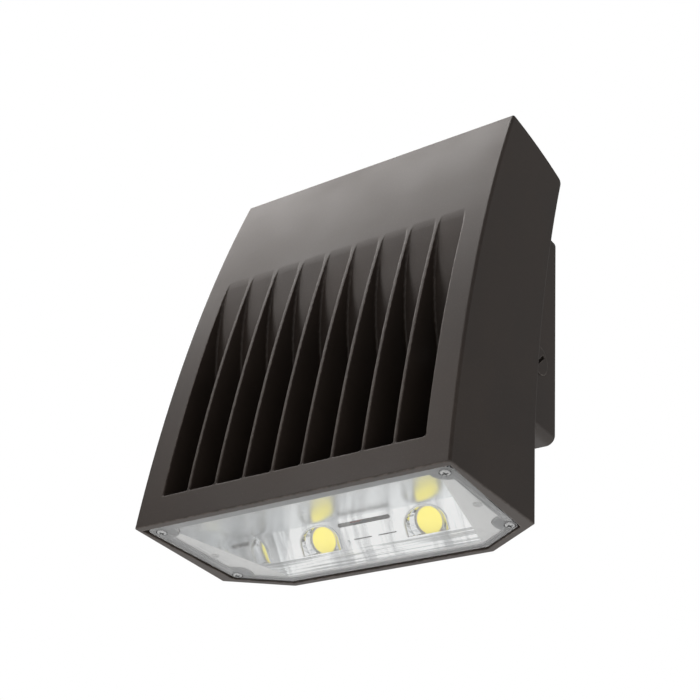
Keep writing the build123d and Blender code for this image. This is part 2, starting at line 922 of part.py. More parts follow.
def reflector_details():
    """Grooves of the stepped foot, and the openings in the panel between the light sources."""
    foot = tilted(-panel_foot_drop, panel_lead)
    back = (heel[0] + mouth_back, bottom_z(heel[0] + mouth_back, flange_low))
    cuts = []
    for step in range(step_count):
        share = (step + 1 / 2) / step_count
        y = foot[0] + (back[0] - foot[0]) * share
        z = foot[1] + (back[1] - foot[1]) * share
        groove = Plane((0, y, z), x_dir=rightward, z_dir=(0, back[1] - foot[1], foot[0] - back[0]))
        cuts.append(groove * Box(ample, step_depth, 2 * step_depth))
    panel = cob_middle * Pos(0, 0, panel_lead + near)
    depth = 2 * reflector_sheet
    vent = extrude(SlotOverall(vent_length, vent_width), amount=-depth)
    cuts.append(panel * Pos(vent_x, vent_rise) * vent)
    for x in (slit_left_x, slit_right_x):
        cuts.append(panel * Pos(x, -slit_drop) * Box(slit_length, slit_width, 2 * depth))
    return cuts


def reflector():
    """Bright sheet: flange, leaning side walls, roof, cupped lamp panel and stepped foot."""
    insets = [inset + flange_gap for inset in cavity_insets]
    flange_plan = ring_of(plan(*insets))
    body = reflector_room(reflector_sheet) & layer(flange_plan, flange_low, sill_back_z - heel_z)
    body += layer(flange_plan, flange_low, seat_level)
    for place in cob_places:
        cup = extrude(cup_arch(reflector_sheet), amount=cup_depth)
        body += place * Pos(0, 0, panel_lead - cup_depth) * cup
    body -= reflector_room()
    for place in cob_places:
        body -= place * extrude(cup_arch(), amount=panel_lead + reflector_sheet)
    body -= reflector_details()
    stud = cob_middle * Pos(stud_x, -stud_drop, panel_lead)
    body += stud * Cylinder(stud_radius, stud_height, align=seated)
    body += flange_ribs()
    for x, y in lens_screws:
        body -= below(x, y, seat_level + lobe_height + shell, lobe_radius + flange_gap, lens_top)
    for x, y in reflector_screws:
        body -= below(x, y, seat_level + near, reflector_screw_shank / 2 + hole_play, lens_top)
    return body


def flange_ribs():
    """Two thin ribs on each side flange, broken round the screw."""
    size = (flange_rib_width, flange_rib_length, flange_rib_height)
    ribs = []
    rib_places = on_sides(flange_rib_inset, -flange_rib_y)
    for screw, middle in zip(reflector_screws, rib_places):
        gap = below(*screw, flange_low + near, flange_rib_break, lens_top)
        for step in (-1, 1):
            rib_x = middle[0] + step * flange_rib_spacing / 2
            place = underside * Pos(rib_x, middle[1], flange_low - flange_rib_height)
            ribs.append(place * Box(*size, align=seated) - gap)
    return ribs


def reflector_screws_node():
    pieces = []
    for x, y in reflector_screws:
        place = underside * Pos(x, y, flange_low) * Rot(180, 0, 0)
        sizes = (reflector_screw_head, reflector_screw_head_height, reflector_screw_shank)
        pieces.append(pan_screw(place, *sizes, reflector_screw_length))
    return group(pieces)


# ---------------------------------------------------------------- light sources
def at_each_source(make):
    """The same piece at both light sources."""
    return group([place * make() for place in cob_places])


def cob_substrate():
    board = Pos(0, 0, board_back) * Box(cob_board, cob_board, cob_board_thickness, align=seated)
    return board


def cob_phosphor():
    return Pos(0, 0, board_front) * Cylinder(cob_face / 2, phosphor_height, align=seated)


def cob_dam():
    """Raised ring that holds the phosphor layer."""
    inner = cob_face / 2 + thread_fit
    ring = Cylinder(inner + cob_dam_width, cob_dam_height, align=seated)
    ring -= Cylinder(inner, cob_dam_height, align=seated)
    return Pos(0, 0, board_front) * ring


def thermal_pad():
    return Pos(0, 0, pad_back) * Box(cob_board, cob_board, pad_thickness, align=seated)


def cob_holder():
    """Moulded holder that clamps the board, with its bore and two screw holes."""
    body = extrude(RectangleRounded(holder_length, holder_width, holder_corner), amount=holder_height)
    body = fillet(body.faces().sort_by(Axis.Z)[-1].edges(), holder_edge)
    pocket = cob_board + 2 * holder_fit
    body -= Box(pocket, pocket, board_front - pad_back, align=seated)
    body -= Cylinder(holder_bore / 2, holder_height, align=seated)
    slope = holder_height - (board_front - pad_back)
    body -= Pos(0, 0, board_front - pad_back + slope / 2) * Cone(
        holder_bore / 2, holder_bore / 2 + slope / 2, slope / 2, align=seated
    )
    for side in (-1, 1):
        body -= Pos(side * holder_screw_spacing / 2) * Cylinder(
            holder_screw_shank / 2 + hole_play, holder_height, align=seated
        )
    return Pos(0, 0, pad_back) * body


def holder_screws_node():
    pieces = []
    for place in cob_places:
        for side in (-1, 1):
            at = place * Pos(side * holder_screw_spacing / 2, 0, pad_back + holder_height)
            sizes = (holder_screw_head, holder_screw_head_height, holder_screw_shank, holder_screw_length)
            pieces.append(pan_screw(at, *sizes))
    return group(pieces)


# ---------------------------------------------------------------- back box
entry_places = [
    Plane((box_width / 2, -entry_reach, -entry_drop), x_dir=inward, z_dir=rightward),
    Plane((-box_width / 2, -entry_reach, -entry_drop), x_dir=outward, z_dir=leftward),
    Plane((0, -entry_reach, -box_height / 2), x_dir=rightward, z_dir=downward),
]
wall_holes = [
    (x * wall_hole_spacing_x / 2, z * wall_hole_spacing_z / 2) for x in (-1, 1) for z in (-1, 1)
]


def box_block(inset, off_wall, depth, corner):
    """Rounded block of the back box, from a distance off the wall."""
    face = RectangleRounded(box_width - 2 * inset, box_height - 2 * inset, corner)
    return Plane((0, -off_wall, 0), x_dir=rightward, z_dir=outward) * extrude(face, amount=depth)


def closing_boss():
    """Post that takes the closing screw, webbed to the right wall."""
    length = closing_engaged + closing_tip_room + shell
    post = rod((closing_x, rim_y, closing_z), inward, closing_post_radius, length)
    web = block(
        (closing_x, box_width / 2 - box_wall / 2),
        (rim_y, rim_y + length),
        (closing_z - closing_web / 2, closing_z + closing_web / 2),
    )
    return post + web


def hinge_ear_parts():
    """Ears on the left wall, each a web and a round barrel."""
    ears = []
    for low in hinge_ears:
        web = block(
            (hinge_x, -box_width / 2 + box_wall / 2),
            (hinge_y - hinge_barrel_radius, hinge_y + hinge_barrel_radius),
            (low, low + hinge_ear_height),
        )
        ears.append(web + rod((hinge_x, hinge_y, low), upward, hinge_barrel_radius, hinge_ear_height))
    return ears


def box_holes():
    """Conduit entries, wall holes, junction box slots and tapped holes of the back box."""
    holes = []
    for place in entry_places:
        holes.append(place * Pos(0, 0, near) * Rot(180, 0, 0) * Cylinder(
            entry_radius, entry_hub_length + 2 * near, align=seated
        ))
    holes.append(rod((0, near, 0), outward, entry_radius, rear_entry_hub_length + 2 * near))
    for x, z in wall_holes:
        holes.append(rod((x, near, z), outward, wall_hole_radius, box_wall + wall_boss_height + 2 * near))
    slot = extrude(SlotOverall(junction_slot_length, junction_slot_width), amount=box_wall + 2 * near)
    rear = Plane((0, near, 0), x_dir=rightward, z_dir=outward)
    holes += [rear * Pos(side * junction_slot_spacing / 2, 0) * slot for side in (-1, 1)]
    ground_face = (box_ground_x, -box_wall - box_ground_lift - near, box_ground_z)
    holes.append(rod(ground_face, inward, small_screw_shank / 2 + thread_fit, small_screw_length + near))
    tapped = closing_shank_radius + thread_fit
    depth = closing_engaged + closing_tip_room + near
    holes.append(rod((closing_x, rim_y - near, closing_z), inward, tapped, depth))
    pin_run = hinge_ear_height + 2 * near
    holes += [rod((hinge_x, hinge_y, low - near), upward, pin_hole_radius, pin_run) for low in hinge_ears]
    return holes


def back_box():
    """Cast box: rear wall on the wall face, inward rim in front, conduit hubs and bosses."""
    body = box_block(0, 0, box_depth, box_corner)
    body = chamfer(body.faces().sort_by(Axis.Y)[-1].edges(), box_edge)
    body -= box_block(box_wall, box_wall, box_depth - box_wall - rim_thickness, box_corner - box_wall)
    body -= box_block(rim_width, box_depth - rim_thickness - near, rim_thickness + 2 * near, box_corner / 2)
    for place in entry_places:
        body += place * Rot(180, 0, 0) * Cylinder(entry_hub_radius, entry_hub_length, align=seated)
    body += rod((0, 0, 0), outward, entry_hub_radius, rear_entry_hub_length)
    for x, z in wall_holes:
        body += rod((x, 0, z), outward, wall_boss_radius, box_wall + wall_boss_height)
    body += rod((box_ground_x, 0, box_ground_z), outward, ground_boss_radius, box_wall + box_ground_lift)
    body += closing_boss()
    body += hinge_ear_parts()
    return body - box_holes()


def box_gasket():
    """Flat seal on the box's rim, pressed by the housing's plate."""
    outer = RectangleRounded(
        box_width - 2 * seal_margin, box_height - 2 * seal_margin, box_corner - seal_margin
    )
    width = rim_width - 2 * seal_margin
    inner = offset(outer, amount=-width, kind=Kind.INTERSECTION)
    ring = extrude(outer - inner, amount=seal_thickness)
    return Plane((0, rim_y, 0), x_dir=rightward, z_dir=outward) * ring


def conduit_plugs():
    """Screwed plugs of the three side entries, each with a slot across its face."""
    pieces = []
    for place in entry_places:
        plug = Pos(0, 0, -plug_length) * Cylinder(entry_radius - plug_clearance, plug_length, align=seated)
        plug += Cylinder(entry_radius + plug_lip, plug_stand, align=seated)
        face = plug.edges().filter_by(GeomType.CIRCLE).sort_by(Axis.Z)[-1]
        plug = chamfer(face, plug_stand / 2)
        plug -= Pos(0, 0, plug_stand) * Rot(0, 0, plug_slot_turn) * Box(
            plug_slot_length, plug_slot_width, 2 * plug_slot_depth
        )
        pieces.append(place * plug)
    return group(pieces)


# ---------------------------------------------------------------- hinge and closing screw
def hinge_pins():
    """Headed pins that stand in the box's ears and carry the housing's barrels."""
    pieces = []
    for low in hinge_ears:
        length = lug_lift + hinge_lug_height + hinge_pin_tail
        pin = rod((hinge_x, hinge_y, low), upward, hinge_pin_radius, length)
        pin = chamfer(pin.edges().sort_by(Axis.Z)[-1], hinge_pin_tail / 2)
        pieces.append(pin + rod((hinge_x, hinge_y, low), downward, hinge_head_radius, hinge_head_height))
    return group(pieces)


def hinge_washers():
    pieces = []
    for low in hinge_ears:
        place = (hinge_x, hinge_y, low + hinge_ear_height)
        washer = rod(place, upward, hinge_barrel_radius, hinge_washer_height)
        pieces.append(washer - rod(place, upward, pin_hole_radius, hinge_washer_height))
    return group(pieces)


def closing_screw():
    """Socket-headed captive screw with its retaining groove."""
    head_y = closing_seat_y - closing_washer_height
    place = (closing_x, head_y, closing_z)
    head = rod(place, outward, closing_head_radius, closing_head_height)
    head = chamfer(head.edges().sort_by(Axis.Y)[0], closing_head_height * head_chamfer)
    front = (closing_x, head_y - closing_head_height, closing_z)
    key = extrude(RegularPolygon(closing_key_width / 2, 6, major_radius=False), amount=closing_key_depth)
    head -= Plane(front, x_dir=rightward, z_dir=inward) * key
    shank = rod(place, inward, closing_shank_radius, rim_y + closing_engaged - head_y)
    groove = rod((closing_x, retainer_y, closing_z), inward, closing_shank_radius, retainer_height)
    groove -= rod((closing_x, retainer_y, closing_z), inward, closing_groove_radius, retainer_height)
    return head + shank - groove


def closing_washer():
    place = (closing_x, closing_seat_y, closing_z)
    washer = rod(place, outward, closing_washer_radius, closing_washer_height)
    return washer - rod(place, outward, closing_bore_radius, closing_washer_height)


def closing_retainer():
    """Open clip snapped into the screw's groove, which keeps it with the housing."""
    place = (closing_x, retainer_y, closing_z)
    ring = rod(place, inward, retainer_radius, retainer_height)
    ring -= rod(place, inward, closing_groove_radius + thread_fit, retainer_height)
    mouth = closing_groove_radius * retainer_mouth
    ring -= block(
        (closing_x - mouth, closing_x + mouth),
        (retainer_y - near, retainer_y + retainer_height + near),
        (closing_z - 2 * retainer_radius, closing_z),
    )
    return ring


# ---------------------------------------------------------------- driver
def mounting_plate():
    """Folded sheet that carries the driver and the supply connectors."""
    half = mounting_x + mounting_boss_radius
    low = mounting_z - driver_width / 2
    high = connector_z + connector_width / 2 + mounting_plate_margin
    face = Pos(0, (low + high) / 2) * RectangleRounded(2 * half, high - low, mounting_plate_corner)
    for x, z in mounting_places:
        face -= Pos(x, z) * Circle(small_screw_shank / 2 + hole_play)
    for x in driver_screw_xs:
        face -= Pos(x, mounting_z) * Circle(small_screw_shank / 2 + thread_fit)
    return Plane((0, mounting_y + mounting_plate_sheet, 0), x_dir=rightward, z_dir=outward) * extrude(
        face, amount=mounting_plate_sheet
    )


driver_y = mounting_y + mounting_plate_sheet
driver_screw_xs = [side * (driver_length + driver_ear_length) / 2 for side in (-1, 1)]
connector_z = mounting_z + driver_width / 2 + connector_gap + connector_width / 2
connector_middle = (connector_count - 1) / 2
connector_xs = [
    connector_shift + (connector_middle - index) * connector_pitch for index in range(connector_count)
]


def driver():
    """Sealed supply in a shallow can with a fixing ear at each end."""
    can = block(
        (-driver_length / 2, driver_length / 2),
        (driver_y, driver_y + driver_depth),
        (mounting_z - driver_width / 2, mounting_z + driver_width / 2),
    )
    can = fillet(can.edges().filter_by(Axis.Y), driver_corner)
    can = chamfer(can.faces().sort_by(Axis.Y)[-1].edges(), driver_edge)
    half = driver_length / 2 + driver_ear_length
    ear = block(
        (-half, half),
        (driver_y, driver_y + driver_ear_height),
        (mounting_z - driver_ear_width / 2, mounting_z + driver_ear_width / 2),
    )
    can += ear
    hole_radius = small_screw_shank / 2 + hole_play
    for x in driver_screw_xs:
        can -= rod((x, driver_y, mounting_z), inward, hole_radius, driver_ear_height)
    return can


def driver_screws_node():
    pieces = []
    for x in driver_screw_xs:
        place = Plane((x, driver_y + driver_ear_height, mounting_z), x_dir=rightward, z_dir=inward)
        length = driver_ear_height + mounting_plate_sheet
        pieces.append(pan_screw(place.location, *small_screw_sizes, length))
    return group(pieces)


small_screw_sizes = (small_screw_head, small_screw_head_height, small_screw_shank)


def mounting_screws_node():
    pieces = []
    for x, z in mounting_places:
        place = Plane((x, driver_y, z), x_dir=rightward, z_dir=inward)
        pieces.append(pan_screw(place.location, *small_screw_sizes, small_screw_length))
    return group(pieces)


def supply_connectors():
    """Push-in wire connectors, seated side by side on the plate above the driver."""
    pieces = []
    port_y = driver_y + connector_height / 2
    for x in connector_xs:
        body = block(
            (x - connector_length / 2, x + connector_length / 2),
            (driver_y, driver_y + connector_height),
            (connector_z - connector_width / 2, connector_z + connector_width / 2),
        )
        body = fillet(body.edges().filter_by(Axis.Y), connector_corner)
        for side in (-1, 1):
            port = (x + connector_length / 2, port_y, connector_z + side * connector_width / 4)
            body -= rod(port, leftward, supply_lead_radius + thread_fit, connector_port_depth)
        pieces.append(body)
    return group(pieces)


# ---------------------------------------------------------------- wiring
bend_share = 0.45


def bend_radii(points, limits):
    """Radius at each corner: as large as its two runs allow, under any limit given for it."""
    radii = []
    for index in range(1, len(points) - 1):
        before = Vector(*points[index]) - Vector(*points[index - 1])
        after = Vector(*points[index + 1]) - Vector(*points[index])
        turn = radians(before.get_angle(after))
        room = bend_share * min(before.length, after.length)
        room = min(room, limits.get(index, room))
        radii.append(room / tan(turn / 2))
    return radii


def lead(name, points, radius, limits=None):
    """Round insulated lead along straight runs joined by tangent arcs."""
    radii = bend_radii(points, limits or {})
    path = FilletPolyline(*points, radius=radii)
    section = Plane(path @ 0, z_dir=path % 0) * Circle(radius)
    body = sweep(section, path=path)
    share = body.volume / (pi * radius**2 * path.length)
    print(name, "bends", [round(value, 1) for value in radii], "fill", round(share, 4))
    return body


lead_y = driver_y + driver_depth / 2
port_y = driver_y + connector_height / 2
port_z = connector_z + connector_width / 4


def supply_lead(index):
    """Lead from the driver's right end, up and over to its connector."""
    start = (driver_length / 2, lead_y, mounting_z + (1 - index) * lead_pitch)
    out_x = driver_length / 2 + lead_way_out + index * lead_spread
    run_y = driver_y + connector_height + lead_over_connectors + index * lead_layer
    port_x = connector_xs[index] + connector_length / 2
    return [
        start,
        (out_x, lead_y, start[2]),
        (out_x, run_y, port_z),
        (port_x + lead_entry + lead_dip, run_y, port_z),
        (port_x + lead_entry, port_y, port_z),
        (port_x - connector_port_depth + near, port_y, port_z),
    ]


barrel_top = ground_z - ground_ring_radius + near
barrel_y = mounting_y + ground_ring_sheet + ground_barrel_radius - near


def ground_lead():
    """Lead from the driver's right end to the ring terminal of the ground screw."""
    low_z = mounting_z - lead_pitch
    out_x = driver_length / 2 + lead_way_out + connector_count * lead_spread
    turn_z = low_z + ground_lead_rise
    return [
        (driver_length / 2, lead_y, low_z),
        (out_x, lead_y, low_z),
        (out_x, lead_y, turn_z),
        (ground_x, barrel_y, ground_z - ground_lead_below),
        (ground_x, barrel_y, barrel_top - near),
    ]


holder_end_x = cob_spacing / 2 - holder_length / 2
holder_middle = pad_back + holder_height / 2


def led_lead(index):
    """Lead from the driver's left end, down, through the grommet and on to a light source."""
    side = 2 * index - 1
    start_z = mounting_z - side * led_lead_pitch / 2
    out_x = -driver_length / 2 - lead_way_out - (1 - index) * lead_spread
    low_z = mounting_z - led_lead_drop - (1 - index) * lead_spread
    through_x = side * led_lead_pitch / 2
    terminal = tilted(led_terminal_rise, holder_middle)
    turn_z = lamp_roof_z - led_lead_below_roof
    return [
        (-driver_length / 2, lead_y, start_z),
        (out_x, lead_y, start_z),
        (out_x, lead_y, low_z),
        (through_x, grommet_y, low_z),
        (through_x, grommet_y, turn_z),
        (through_x, -led_lead_turn_y, turn_z),
        (side * (holder_end_x - led_terminal_run), *terminal),
        (side * holder_end_x, *terminal),
    ]


def led_lead_limits(low_z):
    """Room for the two bends that must leave the lead straight through the grommet."""
    return {3: low_z - chamber_floor - grommet_flange, 4: led_lead_below_roof - grommet_flange}


def led_link():
    """Short link between the two holders."""
    place = tilted(-led_link_drop, holder_middle)
    return rod((-holder_end_x, *place), rightward, led_lead_radius, 2 * holder_end_x)


def bulkhead_grommet():
    """Rubber grommet in the wall between the driver chamber and the lamp room."""
    wall = chamber_floor - lamp_roof_z
    body = rod((0, grommet_y, lamp_roof_z), upward, grommet_waist - thread_fit, wall)
    body += rod((0, grommet_y, lamp_roof_z), downward, grommet_radius, grommet_flange)
    body += rod((0, grommet_y, chamber_floor), upward, grommet_radius, grommet_flange)
    for side in (-1, 1):
        hole = rod(
            (side * led_lead_pitch / 2, grommet_y, lamp_roof_z - grommet_flange - near),
            upward,
            led_lead_radius + thread_fit,
            wall + 2 * grommet_flange + 2 * near,
        )
        body -= hole
    return body


def ground_terminal():
    """Ring terminal with its crimped barrel, on the ground boss."""
    back = (ground_x, mounting_y, ground_z)
    seat = (ground_x, mounting_y + ground_ring_sheet, ground_z)
    body = rod(back, inward, ground_ring_radius, ground_ring_sheet)
    body += rod((ground_x, barrel_y, barrel_top), downward, ground_barrel_radius, ground_barrel_length)
    body -= rod(back, inward, small_screw_shank / 2 + hole_play, ground_ring_sheet)
    body -= rod(seat, inward, small_screw_head / 2 + near, small_screw_head_height)
    bore_start = (ground_x, barrel_y, barrel_top + near)
    bore_length = ground_barrel_length + 2 * near
    return body - rod(bore_start, downward, supply_lead_radius + thread_fit, bore_length)


def ground_screw():
    place = Plane((ground_x, mounting_y + ground_ring_sheet, ground_z), x_dir=rightward, z_dir=inward)
    return pan_screw(place.location, *small_screw_sizes, small_screw_length)


def box_ground_screw():
    """Spare ground screw for the supply cable, on its post in the back box."""
    face_y = -box_wall - box_ground_lift
    place = Plane((box_ground_x, face_y, box_ground_z), x_dir=rightward, z_dir=outward)
    return pan_screw(place.location, *small_screw_sizes, small_screw_length)


# ---------------------------------------------------------------- nodes
nodes = {
    "housing": housing,
    "lens": lens,
    "lens_gasket": lens_gasket,
    "lens_screws": lens_screws_node,
    "reflector": reflector,
    "reflector_screws": reflector_screws_node,
    "cob_substrates": lambda: at_each_source(cob_substrate),
    "cob_phosphors": lambda: at_each_source(cob_phosphor),
    "cob_dams": lambda: at_each_source(cob_dam),
    "thermal_pads": lambda: at_each_source(thermal_pad),
    "cob_holders": lambda: at_each_source(cob_holder),
    "holder_screws": holder_screws_node,
    "mounting_plate": mounting_plate,
    "mounting_screws": mounting_screws_node,
    "driver": driver,
    "driver_screws": driver_screws_node,
    "supply_connectors": supply_connectors,
    "lead_line": lambda: lead("lead_line", supply_lead(0), supply_lead_radius),
    "lead_neutral": lambda: lead("lead_neutral", supply_lead(1), supply_lead_radius),
    "lead_ground": lambda: lead("lead_ground", ground_lead(), supply_lead_radius),
    "ground_terminal": ground_terminal,
    "ground_screw": ground_screw,
    "led_lead_positive": lambda: led_lead_node(0),
    "led_lead_negative": lambda: led_lead_node(1),
    "led_link": led_link,
    "bulkhead_grommet": bulkhead_grommet,
    "closing_screw": closing_screw,
    "closing_washer": closing_washer,
    "closing_retainer": closing_retainer,
    "back_box": back_box,
    "box_gasket": box_gasket,
    "conduit_plugs": conduit_plugs,
    "box_ground_screw": box_ground_screw,
    "hinge_pins": hinge_pins,
    "hinge_washers": hinge_washers,
}


def led_lead_node(index):
    points = led_lead(index)
    name = "led_lead_positive" if index == 0 else "led_lead_negative"
    return lead(name, points, led_lead_radius, led_lead_limits(points[3][2]))


os.makedirs("parts", exist_ok=True)
for name, make in nodes.items():
    part = make()
    part.label = name
    export_step(part, os.path.join("parts", name + ".step"))
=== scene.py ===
import json
from math import radians

import bmesh
import bpy
import numpy as np
from mathutils import Matrix, Vector


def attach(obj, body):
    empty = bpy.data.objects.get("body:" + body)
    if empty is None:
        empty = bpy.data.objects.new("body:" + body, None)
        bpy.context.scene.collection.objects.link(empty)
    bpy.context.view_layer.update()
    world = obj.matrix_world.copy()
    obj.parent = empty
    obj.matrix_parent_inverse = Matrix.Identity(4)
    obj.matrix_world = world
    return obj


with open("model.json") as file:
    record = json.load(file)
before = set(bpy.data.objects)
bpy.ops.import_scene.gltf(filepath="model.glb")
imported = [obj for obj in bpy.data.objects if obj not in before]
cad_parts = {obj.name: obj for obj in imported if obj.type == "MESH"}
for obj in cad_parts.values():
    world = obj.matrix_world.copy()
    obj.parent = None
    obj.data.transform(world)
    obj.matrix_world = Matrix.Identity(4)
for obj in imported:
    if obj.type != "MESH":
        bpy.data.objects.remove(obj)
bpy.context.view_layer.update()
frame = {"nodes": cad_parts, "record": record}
cadNodes = frame["nodes"]
print("frame loaded:", len(cadNodes), "nodes")


def shade(red, green, blue):
    # 0-255 screen colour to the linear colour that shaders use
    s = np.array([red, green, blue]) / 255
    linear = np.where(s <= 0.04045, s / 12.92, ((s + 0.055) / 1.055) ** 2.4)
    return (*[float(v) for v in linear], 1.0)


def node(tree, kind, inputs=None, **settings):
    # one shader node; inputs maps a socket's name or number to a value or to another socket
    made = tree.nodes.new(kind)
    for key, value in settings.items():
        setattr(made, key, value)
    for key, value in (inputs or {}).items():
        socket = made.inputs[key]
        if isinstance(value, bpy.types.NodeSocket):
            tree.links.new(value, socket)
        else:
            socket.default_value = value
    return made


def noise(tree, vector, scale, detail=2.0, roughness=0.5):
    given = {"Vector": vector, "Scale": scale, "Detail": detail, "Roughness": roughness}
    return node(tree, "ShaderNodeTexNoise", given).outputs["Fac"]


def remap(tree, value, low, high, newLow=0.0, newHigh=1.0):
    made = node(tree, "ShaderNodeMapRange", {"Value": value, "From Min": low, "From Max": high,
                                             "To Min": newLow, "To Max": newHigh})
    return made.outputs["Result"]


def maths(tree, operation, a, b=0.0):
    return node(tree, "ShaderNodeMath", {0: a, 1: b}, operation=operation).outputs[0]


def mixColour(tree, factor, first, second):
    made = node(tree, "ShaderNodeMix", {"Factor": factor, 6: first, 7: second}, data_type="RGBA")
    return made.outputs[2]


def bump(tree, height, distance, strength, over=None):
    made = node(tree, "ShaderNodeBump", {"Height": height, "Distance": distance, "Strength": strength})
    if over is not None:
        tree.links.new(over, made.inputs["Normal"])
    return made.outputs["Normal"]


def objectPlace(tree, stretch=(1, 1, 1)):
    place = node(tree, "ShaderNodeTexCoord").outputs["Object"]
    if stretch == (1, 1, 1):
        return place
    return node(tree, "ShaderNodeMapping", {"Vector": place, "Scale": stretch}).outputs["Vector"]


def newGroup(name, inputs, outputs):
    # empty shader group with float or vector sockets
    group = bpy.data.node_groups.new(name, "ShaderNodeTree")
    for label, kind, value in inputs:
        socket = group.interface.new_socket(label, in_out="INPUT", socket_type=kind)
        if value is not None:
            socket.default_value = value
    for label in outputs:
        group.interface.new_socket(label, in_out="OUTPUT", socket_type="NodeSocketFloat")
    return group, group.nodes.new("NodeGroupInput"), group.nodes.new("NodeGroupOutput")


def makePowderGrain():
    # cured powder: a close orange peel, small pale specks in it and a slow cloudiness
    group, given, result = newGroup("powderGrain", [
        ("Place", "NodeSocketVector", None),
        ("Grain Scale", "NodeSocketFloat", 900.0),
    ], ["Height", "Speck", "Cloud"])
    place = given.outputs["Place"]
    scale = given.outputs["Grain Scale"]
    peel = noise(group, place, scale, 2.0, 0.55)
    finer = noise(group, place, maths(group, "MULTIPLY", scale, 2.3), 1.0)
    height = maths(group, "ADD", maths(group, "MULTIPLY", peel, 0.7), maths(group, "MULTIPLY", finer, 0.3))
    group.links.new(height, result.inputs["Height"])
    group.links.new(remap(group, finer, 0.60, 0.76), result.inputs["Speck"])
    group.links.new(noise(group, place, 14.0, 3.0, 0.6), result.inputs["Cloud"])
    return group


def makeEdgeWearAndHighlight():
    # 1 on sharp outer edges: where a rounded normal differs from the surface's own; it marks edge wear and a
    #                         painted edge highlight
    group, given, result = newGroup("edgeWearAndHighlight", [
        ("Place", "NodeSocketVector", None),
        ("Radius", "NodeSocketFloat", 0.0012),
        ("Breakup", "NodeSocketFloat", 260.0),
    ], ["Mask"])
    rounded = node(group, "ShaderNodeBevel", {"Radius": given.outputs["Radius"]}, samples=4)
    own = node(group, "ShaderNodeNewGeometry").outputs["Normal"]
    likeness = node(group, "ShaderNodeVectorMath", {0: rounded.outputs["Normal"], 1: own},
                    operation="DOT_PRODUCT")
    edge = remap(group, likeness.outputs["Value"], 0.995, 0.86)
    patchy = remap(group, noise(group, given.outputs["Place"], given.outputs["Breakup"], 3.0), 0.35, 0.65)
    group.links.new(maths(group, "MULTIPLY", edge, patchy), result.inputs["Mask"])
    return group


def makeBrushed():
    # long fine scratches along one axis of the stretched place it is given
    group, given, result = newGroup("brushed", [
        ("Place", "NodeSocketVector", None),
        ("Line Scale", "NodeSocketFloat", 1200.0),
    ], ["Line", "Patch"])
    line = noise(group, given.outputs["Place"], given.outputs["Line Scale"], 4.0, 0.6)
    group.links.new(line, result.inputs["Line"])
    group.links.new(noise(group, given.outputs["Place"], 35.0, 3.0), result.inputs["Patch"])
    return group


def makeFilm():
    # thin uneven film of handling marks
    group, given, result = newGroup("film", [
        ("Place", "NodeSocketVector", None),
        ("Film Scale", "NodeSocketFloat", 40.0),
    ], ["Mask"])
    smear = noise(group, given.outputs["Place"], given.outputs["Film Scale"], 5.0, 0.65)
    group.links.new(remap(group, smear, 0.42, 0.72), result.inputs["Mask"])
    return group


powderGrain = makePowderGrain()
edgeWearAndHighlight = makeEdgeWearAndHighlight()
brushed = makeBrushed()
film = makeFilm()
print("shared node groups built")


def startMaterial(name):
    material = bpy.data.materials.new(name)
    material.use_nodes = True
    tree = material.node_tree
    tree.nodes.clear()
    surface = tree.nodes.new("ShaderNodeBsdfPrincipled")
    output = tree.nodes.new("ShaderNodeOutputMaterial")
    tree.links.new(surface.outputs["BSDF"], output.inputs["Surface"])
    return material, tree, surface


def placeGroup(tree, group, inputs):
    made = tree.nodes.new("ShaderNodeGroup")
    made.node_tree = group
    for key, value in inputs.items():
        if isinstance(value, bpy.types.NodeSocket):
            tree.links.new(value, made.inputs[key])
        else:
            made.inputs[key].default_value = value
    return made.outputs


bronze = {
    "body": shade(58, 49, 43),
    "deep": shade(50, 42, 37),
    "speck": shade(92, 83, 78),
    "speckAmount": 0.55,
    # worn: the lighter edge colour, for wear and for a painted highlight along the crests and edges
    "worn": shade(150, 139, 131),
    "grainScale": 1000.0,
    "grainDepth": 0.00005,
    "roughness": (0.38, 0.46),
    "specular": 0.45,
    "wearAndHighlightRadius": 0.0013,
    "wearAndHighlightAmount": 0.75,
    "softRadius": 0.0012,
}


def bronzeCoat():
    material, tree, surface = startMaterial("bronzeCoat")
    place = objectPlace(tree)
    grain = placeGroup(tree, powderGrain, {"Place": place, "Grain Scale": bronze["grainScale"]})
    wearAndHighlight = placeGroup(tree, edgeWearAndHighlight, {"Place": place, "Radius": bronze["wearAndHighlightRadius"]})
    colour = mixColour(tree, remap(tree, grain["Cloud"], 0.35, 0.65), bronze["deep"], bronze["body"])
    specks = maths(tree, "MULTIPLY", grain["Speck"], bronze["speckAmount"])
    colour = mixColour(tree, specks, colour, bronze["speck"])
    # edges painted lighter: wear, and a painted highlight where light catches the rounded edges
    worn = maths(tree, "MULTIPLY", wearAndHighlight["Mask"], bronze["wearAndHighlightAmount"])
    colour = mixColour(tree, worn, colour, bronze["worn"])
    tree.links.new(colour, surface.inputs["Base Color"])
    low, high = bronze["roughness"]
    tree.links.new(remap(tree, grain["Cloud"], 0.3, 0.7, low, high), surface.inputs["Roughness"])
    surface.inputs["Specular IOR Level"].default_value = bronze["specular"]
    soft = node(tree, "ShaderNodeBevel", {"Radius": bronze["softRadius"]}, samples=6).outputs["Normal"]
    tree.links.new(bump(tree, grain["Height"], bronze["grainDepth"], 0.8, soft), surface.inputs["Normal"])
    return material


glass = {
    "tint": shade(255, 255, 255),
    "ior": 1.49,
    "film": shade(250, 251, 251),
    "filmScale": 22.0,
    "roughness": (0.0, 0.03),
}


